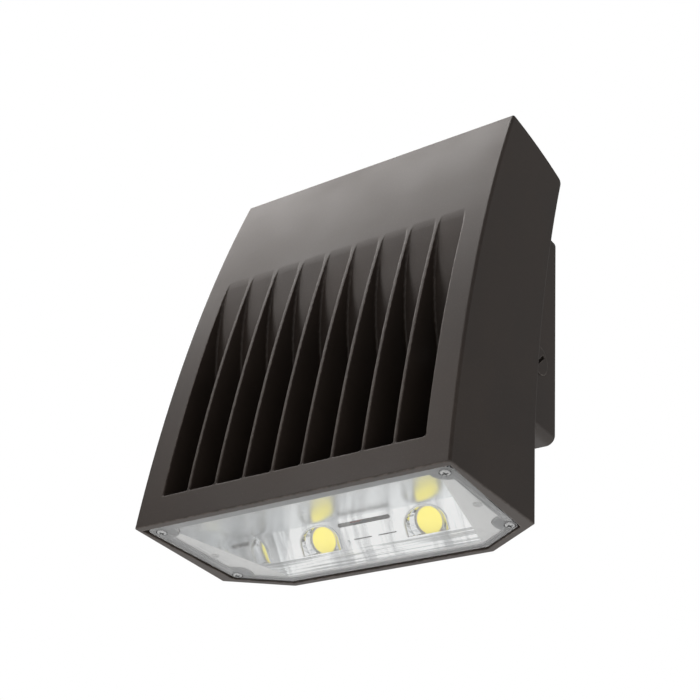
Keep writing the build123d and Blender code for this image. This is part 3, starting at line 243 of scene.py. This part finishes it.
def clearLens():
    # clear pane; rays from the lamps pass straight through it
    material, tree, surface = startMaterial("clearLens")
    marks = placeGroup(tree, film, {"Place": objectPlace(tree), "Film Scale": glass["filmScale"]})
    tree.links.new(mixColour(tree, marks["Mask"], glass["tint"], glass["film"]), surface.inputs["Base Color"])
    low, high = glass["roughness"]
    tree.links.new(remap(tree, marks["Mask"], 0.0, 1.0, low, high), surface.inputs["Roughness"])
    surface.inputs["IOR"].default_value = glass["ior"]
    surface.inputs["Transmission Weight"].default_value = 1.0
    clear = tree.nodes.new("ShaderNodeBsdfTransparent")
    path = tree.nodes.new("ShaderNodeLightPath")
    mixed = tree.nodes.new("ShaderNodeMixShader")
    output = next(n for n in tree.nodes if n.type == "OUTPUT_MATERIAL")
    tree.links.new(path.outputs["Is Shadow Ray"], mixed.inputs["Fac"])
    tree.links.new(surface.outputs["BSDF"], mixed.inputs[1])
    tree.links.new(clear.outputs["BSDF"], mixed.inputs[2])
    tree.links.new(mixed.outputs["Shader"], output.inputs["Surface"])
    return material


rubber = {"marksScale": 60.0, "marksAmount": 0.7, "grainScale": 1500.0, "grainDepth": 0.00003}


def softRubber(name, base, dusty, roughness=0.7):
    material, tree, surface = startMaterial(name)
    place = objectPlace(tree)
    marks = placeGroup(tree, film, {"Place": place, "Film Scale": rubber["marksScale"]})
    handled = maths(tree, "MULTIPLY", marks["Mask"], rubber["marksAmount"])
    tree.links.new(mixColour(tree, handled, base, dusty), surface.inputs["Base Color"])
    tree.links.new(remap(tree, marks["Mask"], 0, 1, roughness - 0.08, roughness + 0.1),
                   surface.inputs["Roughness"])
    grain = noise(tree, place, rubber["grainScale"], 2.0)
    tree.links.new(bump(tree, grain, rubber["grainDepth"], 0.6), surface.inputs["Normal"])
    return material


metal = {"marksScale": 90.0, "marksAmount": 0.35, "lineDepth": 0.00001}


def brushedMetal(name, base, worn, roughness, stretch=(1, 1, 1), lineScale=1100.0):
    material, tree, surface = startMaterial(name)
    lines = placeGroup(tree, brushed, {"Place": objectPlace(tree, stretch), "Line Scale": lineScale})
    marks = placeGroup(tree, film, {"Place": objectPlace(tree), "Film Scale": metal["marksScale"]})
    colour = mixColour(tree, remap(tree, lines["Line"], 0.35, 0.65), base, worn)
    handled = maths(tree, "MULTIPLY", marks["Mask"], metal["marksAmount"])
    tree.links.new(mixColour(tree, handled, colour, worn), surface.inputs["Base Color"])
    surface.inputs["Metallic"].default_value = 1.0
    tree.links.new(remap(tree, lines["Line"], 0.3, 0.7, roughness - 0.06, roughness + 0.08),
                   surface.inputs["Roughness"])
    tree.links.new(bump(tree, lines["Line"], metal["lineDepth"], 0.5), surface.inputs["Normal"])
    return material


# roofY, flangeZ, footZ and footY: the normal's part along that axis where the zone starts and is whole
mirror = {
    # bright and the shade after it: the two sides of painted light and dark reflection streaks
    "bright": shade(246, 248, 249),
    "paintedStreakShade": shade(188, 191, 194),
    "roof": shade(226, 229, 231),
    "flange": shade(210, 211, 211),
    # line: painted dark reflection lines for the steps of the foot
    "line": shade(128, 131, 134),
    "lineScale": 520.0,
    "footLineStretch": (0.02, 1, 1),
    "footLineAmount": 0.8,
    "panelRoughness": (0.03, 0.09),
    "roofRoughness": 0.22,
    "flangeRoughness": 0.42,
    "paintedStreakScale": 70.0,
    "paintedStreakStretch": (1, 0.12, 0.12),
    "brushScale": 900.0,
    "brushStretch": (0.04, 1, 1),
    "brushDepth": 0.00002,
    "roofY": (0.08, 0.2),
    "flangeZ": (-0.985, -0.995),
    "footZ": (-0.66, -0.74),
    "footY": (-0.2, -0.4),
}


def brightSheet():
    # specular aluminium: mirror-like panel and walls with painted light and dark reflection streaks, hazy
    # roof, satin flange at the lowest level, and painted dark reflection lines along the stepped foot; roof,
    # flange and foot are each told by the way its surface faces
    material, tree, surface = startMaterial("brightSheet")
    lines = placeGroup(tree, brushed, {"Place": objectPlace(tree, mirror["brushStretch"]),
                                       "Line Scale": mirror["brushScale"]})
    paintedStreaks = noise(tree, objectPlace(tree, mirror["paintedStreakStretch"]), mirror["paintedStreakScale"], 3.0, 0.6)
    facing = node(tree, "ShaderNodeSeparateXYZ",
                  {0: node(tree, "ShaderNodeTexCoord").outputs["Normal"]}).outputs
    roof = remap(tree, facing["Y"], *mirror["roofY"])
    flange = remap(tree, facing["Z"], *mirror["flangeZ"])
    # painted reflection streaks: light and dark bands across the sheet
    colour = mixColour(tree, remap(tree, paintedStreaks, 0.44, 0.60), mirror["bright"], mirror["paintedStreakShade"])
    colour = mixColour(tree, roof, colour, mirror["roof"])
    downward = remap(tree, facing["Z"], *mirror["footZ"])
    foot = maths(tree, "MULTIPLY", downward, remap(tree, facing["Y"], *mirror["footY"]))
    # painted dark reflection lines along the steps of the foot
    along = objectPlace(tree, mirror["footLineStretch"])
    paintedFootLines = remap(tree, noise(tree, along, mirror["lineScale"], 1.0), 0.48, 0.58)
    paintedFootLines = maths(tree, "MULTIPLY", maths(tree, "MULTIPLY", foot, paintedFootLines), mirror["footLineAmount"])
    colour = mixColour(tree, paintedFootLines, colour, mirror["line"])
    colour = mixColour(tree, flange, colour, mirror["flange"])
    tree.links.new(colour, surface.inputs["Base Color"])
    surface.inputs["Metallic"].default_value = 1.0
    low, high = mirror["panelRoughness"]
    rough = remap(tree, lines["Patch"], 0.35, 0.65, low, high)
    rough = node(tree, "ShaderNodeMix", {"Factor": roof, 2: rough, 3: mirror["roofRoughness"]}).outputs[0]
    rough = node(tree, "ShaderNodeMix", {"Factor": flange, 2: rough, 3: mirror["flangeRoughness"]}).outputs[0]
    tree.links.new(rough, surface.inputs["Roughness"])
    tree.links.new(bump(tree, lines["Line"], mirror["brushDepth"], 0.4), surface.inputs["Normal"])
    return material


plastic = {
    "grainScale": 1400.0,
    "grainDepth": 0.00002,
    "marksScale": 70.0,
    "marksAmount": 0.3,
    "glossSpread": 0.12,
    "subsurfaceReach": 0.002,
}


def moulded(name, base, shadeTwo, roughness, subsurface=0.0):
    material, tree, surface = startMaterial(name)
    place = objectPlace(tree)
    grain = placeGroup(tree, powderGrain, {"Place": place, "Grain Scale": plastic["grainScale"]})
    marks = placeGroup(tree, film, {"Place": place, "Film Scale": plastic["marksScale"]})
    colour = mixColour(tree, remap(tree, grain["Cloud"], 0.35, 0.65), base, shadeTwo)
    handled = maths(tree, "MULTIPLY", marks["Mask"], plastic["marksAmount"])
    tree.links.new(mixColour(tree, handled, colour, shadeTwo), surface.inputs["Base Color"])
    tree.links.new(remap(tree, marks["Mask"], 0, 1, roughness, roughness + plastic["glossSpread"]),
                   surface.inputs["Roughness"])
    if subsurface:
        surface.inputs["Subsurface Weight"].default_value = subsurface
        surface.inputs["Subsurface Scale"].default_value = plastic["subsurfaceReach"]
    tree.links.new(bump(tree, grain["Height"], plastic["grainDepth"], 0.5), surface.inputs["Normal"])
    return material


phosphor = {
    "bright": shade(253, 241, 106),
    "deep": shade(248, 230, 82),
    # glow: painted light that makes the unlit phosphor shine
    "glow": 0.66,
    "grainScale": 2600.0,
    "grainDepth": 0.00002,
    "roughness": (0.4, 0.55),
    "coat": 0.6,
    "coatRoughness": 0.08,
}


def phosphorGel():
    # phosphor grains in clear silicone: deep colour below a glossy skin, and a painted glow though the LEDs
    # are not lit
    material, tree, surface = startMaterial("phosphorGel")
    place = objectPlace(tree)
    grains = noise(tree, place, phosphor["grainScale"], 2.0)
    colour = mixColour(tree, remap(tree, grains, 0.35, 0.65), phosphor["deep"], phosphor["bright"])
    tree.links.new(colour, surface.inputs["Base Color"])
    # painted glow: the unlit phosphor shines in its own colour
    tree.links.new(colour, surface.inputs["Emission Color"])
    surface.inputs["Emission Strength"].default_value = phosphor["glow"]
    surface.inputs["Coat Weight"].default_value = phosphor["coat"]
    surface.inputs["Coat Roughness"].default_value = phosphor["coatRoughness"]
    low, high = phosphor["roughness"]
    tree.links.new(remap(tree, grains, 0.3, 0.7, low, high), surface.inputs["Roughness"])
    tree.links.new(bump(tree, grains, phosphor["grainDepth"], 0.5), surface.inputs["Normal"])
    return material


finishes = {
    "bronze_coat": bronzeCoat(),
    "clear_lens": clearLens(),
    "dark_rubber": softRubber("darkRubber", shade(98, 99, 100), shade(122, 123, 124)),
    "grey_rubber": softRubber("greyRubber", shade(168, 170, 172), shade(182, 183, 185), 0.5),
    "stainless": brushedMetal("stainless", shade(196, 197, 197), shade(168, 169, 170), 0.28),
    "bright_sheet": brightSheet(),
    "led_board": moulded("ledBoard", shade(226, 226, 222), shade(212, 212, 206), 0.4),
    "led_phosphor": phosphorGel(),
    "led_dam": moulded("ledDam", shade(236, 236, 230), shade(222, 222, 214), 0.3, 0.2),
    "pad_grey": softRubber("padGrey", shade(150, 154, 160), shade(168, 171, 175), 0.8),
    "holder_white": moulded("holderWhite", shade(228, 229, 226), shade(214, 215, 211), 0.42),
    "zinc_sheet": brushedMetal("zincSheet", shade(178, 181, 184), shade(150, 153, 158), 0.42,
                               (0.08, 1, 1), 700.0),
    "driver_can": brushedMetal("driverCan", shade(184, 187, 190), shade(164, 167, 171), 0.46,
                               (0.1, 1, 1), 500.0),
    "connector_clear": moulded("connectorOrange", shade(214, 122, 38), shade(196, 104, 28), 0.25, 0.25),
    "lead_black": moulded("leadBlack", shade(30, 30, 31), shade(42, 42, 43), 0.45),
    "lead_white": moulded("leadWhite", shade(222, 221, 216), shade(206, 205, 198), 0.45),
    "lead_green": moulded("leadGreen", shade(34, 112, 56), shade(44, 126, 66), 0.45),
    "lead_red": moulded("leadRed", shade(168, 32, 30), shade(150, 26, 26), 0.45),
    "tinned_copper": brushedMetal("tinnedCopper", shade(202, 198, 190), shade(176, 170, 160), 0.32),
    "green_screw": moulded("greenScrew", shade(40, 122, 62), shade(30, 98, 50), 0.35),
    "nylon_white": moulded("nylonWhite", shade(220, 219, 210), shade(204, 203, 192), 0.4, 0.2),
}
for entry in frame["record"]["subparts"]:
    mesh = cadNodes[entry["node"]].data
    mesh.materials.clear()
    mesh.materials.append(finishes[entry["material_slot"]])
print("finishes assigned:", len(finishes))


def turnOutwards(mesh):
    # makes every face look out of its closed solid
    form = bmesh.new()
    form.from_mesh(mesh)
    bmesh.ops.recalc_face_normals(form, faces=form.faces)
    form.to_mesh(mesh)
    form.free()


def makePiece(name, points, faces, finish, smooth=True):
    # one object from surface points in metres, riding on the moving half of the light
    mesh = bpy.data.meshes.new(name)
    mesh.from_pydata([tuple(point) for point in points], [], [tuple(face) for face in faces])
    mesh.polygons.foreach_set("use_smooth", [smooth] * len(mesh.polygons))
    mesh.materials.append(finish)
    mesh.update()
    turnOutwards(mesh)
    piece = bpy.data.objects.new(name, mesh)
    bpy.context.scene.collection.objects.link(piece)
    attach(piece, "housing_side")


def gridFaces(rows, columns, closedRows=False, closedColumns=False):
    # quads of a grid whose points run row by row; a closed way joins its last line to its first
    rowCount = rows if closedRows else rows - 1
    columnCount = columns if closedColumns else columns - 1
    faces = []
    for row in range(rowCount):
        for column in range(columnCount):
            a = row * columns + column
            b = row * columns + (column + 1) % columns
            c = ((row + 1) % rows) * columns + (column + 1) % columns
            d = ((row + 1) % rows) * columns + column
            faces.append((a, b, c, d))
    return faces


# each light source looks forward and down: its centre, and the directions right, up and out of it
tilt = {
    "centres": ((-0.0445, -0.0477, -0.1480), (0.0445, -0.0477, -0.1480)),
    "right": (1.0, 0.0, 0.0),
    "up": (0.0, -0.5736, 0.8192),
    "out": (0.0, -0.8192, -0.5736),
}


def tilted(centre, flat):
    # (right, up, out) millimetres from a light source to points of the scene
    axes = np.array([tilt["right"], tilt["up"], tilt["out"]])
    return np.array(centre) + np.asarray(flat) / 1000 @ axes


cup = {
    "halfWidth": 16.2,
    "rise": 11.7,
    "drop": 7.7,
    "mouthLead": 5.8,
    "ringRadius": 11.7,
    "ringLead": 1.1,
    "waistShare": 0.55,
    "waistSwell": 0.9,
    "facets": 14,
    "legFacets": 2,
    "wall": 0.35,
    "beadRadius": 0.5,
    "beadOut": 0.5,
    "beadLead": 6.35,
    "beadSides": 10,
    "beadSteps": 48,
    "beadLegSteps": 4,
}


def archPath(halfWidth, rise, drop, arcSteps, legSteps):
    # up one leg, over the half ellipse (halfWidth cos a, rise sin a) and down the other leg
    turn = np.linspace(0, np.pi, arcSteps + 1)
    arc = np.stack([halfWidth * np.cos(turn), rise * np.sin(turn)], 1)
    legs = np.linspace(-drop, 0, legSteps + 1)[:-1]
    right = np.stack([np.full(legSteps, halfWidth), legs], 1)
    left = np.stack([np.full(legSteps, -halfWidth), legs[::-1]], 1)
    return np.concatenate([right, arc, left])


def ringPath(radius, drop, arcSteps, legSteps):
    # the ring of the holder, cut off level with the foot of the legs
    low = np.arcsin(min(drop / radius, 1.0))
    legs = np.linspace(-low, 0, legSteps + 1)[:-1]
    turn = np.concatenate([legs, np.linspace(0, np.pi, arcSteps + 1), np.pi - legs[::-1]])
    return np.stack([radius * np.cos(turn), radius * np.sin(turn)], 1)


def cupSurface(shrink):
    # three lines of facet corners from the arch in the panel back to the ring round the phosphor;
    # the middle line swells outwards, which gives the cup its second row of facets
    steps = (cup["facets"], cup["legFacets"])
    arch = archPath(cup["halfWidth"] - shrink, cup["rise"] - shrink, cup["drop"], *steps)
    ring = ringPath(cup["ringRadius"] - shrink, cup["drop"], *steps)
    share = cup["waistShare"]
    waist = arch + (ring - arch) * share
    waist *= 1 + cup["waistSwell"] / np.maximum(np.linalg.norm(waist, axis=1, keepdims=True), 1)
    waistLead = cup["mouthLead"] + (cup["ringLead"] - cup["mouthLead"]) * share
    lines = []
    for flat, lead in ((arch, cup["mouthLead"]), (waist, waistLead), (ring, cup["ringLead"])):
        lines.append(np.column_stack([flat, np.full(len(flat), lead)]))
    return np.array(lines)


def makeCups():
    # faceted bright liner in each cup: inner and outer skins, joined round their edges
    for side, centre in zip(("left", "right"), tilt["centres"]):
        inner = cupSurface(cup["wall"])
        outer = cupSurface(0.0)
        rows = np.concatenate([inner, outer[::-1]])
        count, columns = rows.shape[:2]
        faces = gridFaces(count, columns, closedRows=True)
        size = count // 2
        for end, flip in ((0, False), (columns - 1, True)):
            for row in range(size - 1):
                far = count - 1 - row
                quad = (row * columns + end, (row + 1) * columns + end, (far - 1) * columns + end,
                        far * columns + end)
                faces.append(quad[::-1] if flip else quad)
        points = tilted(centre, rows.reshape(-1, 3))
        makePiece("cupLiner." + side, points, faces, finishes["bright_sheet"], smooth=False)


def makeBeads():
    # rolled edge of each cup: a round bead along the arch, closed at both feet
    for side, centre in zip(("left", "right"), tilt["centres"]):
        path = archPath(cup["halfWidth"] + cup["beadOut"], cup["rise"] + cup["beadOut"], cup["drop"],
                        cup["beadSteps"], cup["beadLegSteps"])
        along = np.gradient(path, axis=0)
        along /= np.linalg.norm(along, axis=1, keepdims=True)
        across = np.column_stack([along[:, 1], -along[:, 0]])
        turn = np.linspace(0, 2 * np.pi, cup["beadSides"], endpoint=False)
        lines = []
        for place, sideways in zip(path, across):
            flat = place + np.outer(np.cos(turn) * cup["beadRadius"], sideways)
            lines.append(np.column_stack([flat, cup["beadLead"] + np.sin(turn) * cup["beadRadius"]]))
        points = tilted(centre, np.array(lines).reshape(-1, 3))
        faces = gridFaces(len(lines), cup["beadSides"], closedColumns=True)
        last = (len(lines) - 1) * cup["beadSides"]
        faces.append(tuple(range(cup["beadSides"]))[::-1])
        faces.append(tuple(last + i for i in range(cup["beadSides"])))
        makePiece("cupBead." + side, points, faces, beadFinish)


beadFinish = brushedMetal("cupBeadFinish", shade(250, 250, 250), shade(232, 233, 234), 0.42)
makeCups()
makeBeads()
print("cups dressed")


studio = {
    "floorHeight": -0.95,
    "floorSize": 14.0,
    "floor": shade(236, 236, 234),
    "floorGlow": 0.5,
    "floorSeen": 0.40,
    "floorRoughness": 0.8,
    "background": 1.0,
    "ambient": 0.24,
    "glossAbove": 0.16,
    "glossHorizon": (-0.05, 0.25),
    "target": (0.0, -0.07, -0.02),
    "keyPlace": (-1.00, -0.05, 1.70),
    "keySize": 1.3,
    "keyPower": 20.5,
    "keyTint": (1.0, 0.955, 0.93),
    "frontPlace": (-1.00, -1.36, 1.02),
    "frontSize": 0.5,
    "frontPower": 3.2,
    "frontTint": (1.0, 0.93, 0.89),
}


def softBox(name, place, size, power, tint):
    light = bpy.data.lights.new(name, "AREA")
    light.shape = "SQUARE"
    light.size = size
    light.energy = power
    light.color = tint
    lamp = bpy.data.objects.new(name, light)
    bpy.context.scene.collection.objects.link(lamp)
    lamp.location = place
    towards = Vector(studio["target"]) - Vector(place)
    lamp.rotation_euler = towards.to_track_quat("-Z", "Y").to_euler()


def makeFloor():
    half = studio["floorSize"] / 2
    height = studio["floorHeight"]
    mesh = bpy.data.meshes.new("floor")
    corners = [(x * half, y * half, height) for x, y in ((-1, -1), (1, -1), (1, 1), (-1, 1))]
    mesh.from_pydata(corners, [], [(0, 1, 2, 3)])
    floor = bpy.data.objects.new("floor", mesh)
    bpy.context.scene.collection.objects.link(floor)
    material, tree, surface = startMaterial("paleFloor")
    surface.inputs["Base Color"].default_value = studio["floor"]
    surface.inputs["Roughness"].default_value = studio["floorRoughness"]
    path = tree.nodes.new("ShaderNodeLightPath")
    glow = remap(tree, path.outputs["Is Camera Ray"], 0.0, 1.0, studio["floorGlow"], studio["floorSeen"])
    surface.inputs["Emission Color"].default_value = (1, 1, 1, 1)
    tree.links.new(glow, surface.inputs["Emission Strength"])
    mesh.materials.append(material)


def makeWorld():
    # white to the camera and through glass; gloss sees it white below and dim above, as under
    # a dark ceiling; a plain grey to everything it lights
    world = bpy.data.worlds.new("studio")
    bpy.context.scene.world = world
    world.use_nodes = True
    tree = world.node_tree
    tree.nodes.clear()
    path = tree.nodes.new("ShaderNodeLightPath")
    seen = maths(tree, "MAXIMUM", path.outputs["Is Camera Ray"], path.outputs["Is Transmission Ray"])
    strength = remap(tree, seen, 0.0, 1.0, studio["ambient"], studio["background"])
    height = node(tree, "ShaderNodeSeparateXYZ",
                  {0: node(tree, "ShaderNodeTexCoord").outputs["Generated"]}).outputs["Z"]
    below, above = studio["glossHorizon"]
    gloss = remap(tree, height, below, above, studio["background"], studio["glossAbove"])
    gloss = maths(tree, "MULTIPLY", gloss, path.outputs["Is Glossy Ray"])
    strength = maths(tree, "MAXIMUM", strength, gloss)
    sky = node(tree, "ShaderNodeBackground", {"Color": (1, 1, 1, 1), "Strength": strength})
    output = tree.nodes.new("ShaderNodeOutputWorld")
    tree.links.new(sky.outputs["Background"], output.inputs["Surface"])


makeFloor()
makeWorld()
softBox("keyLight", studio["keyPlace"], studio["keySize"], studio["keyPower"], studio["keyTint"])
softBox("frontLight", studio["frontPlace"], studio["frontSize"], studio["frontPower"], studio["frontTint"])

# the photograph's camera, worked out from the straight edges of the housing
shot = {
    "place": (0.53556, -0.80862, -0.53189),
    "azimuth": 36.914,
    "elevation": -29.459,
    "roll": 4.868,
    "frameWidth": 700.0,
    "focalPixels": 1419.2,
    "sensor": 36.0,
}


def makeCamera():
    turn, rise = radians(shot["azimuth"]), radians(shot["elevation"])
    ahead = Vector((-np.sin(turn) * np.cos(rise), np.cos(turn) * np.cos(rise), -np.sin(rise)))
    aim = ahead.to_track_quat("-Z", "Y").to_matrix().to_4x4()
    aim = aim @ Matrix.Rotation(radians(shot["roll"]), 4, "Z")
    data = bpy.data.cameras.new("photoCamera")
    data.sensor_width = shot["sensor"]
    data.lens = shot["sensor"] * shot["focalPixels"] / shot["frameWidth"]
    data.clip_start = 0.01
    camera = bpy.data.objects.new("photoCamera", data)
    bpy.context.scene.collection.objects.link(camera)
    camera.matrix_world = Matrix.Translation(shot["place"]) @ aim
    bpy.context.scene.camera = camera


makeCamera()
bpy.context.scene.view_settings.view_transform = "Standard"
print("studio and camera ready")
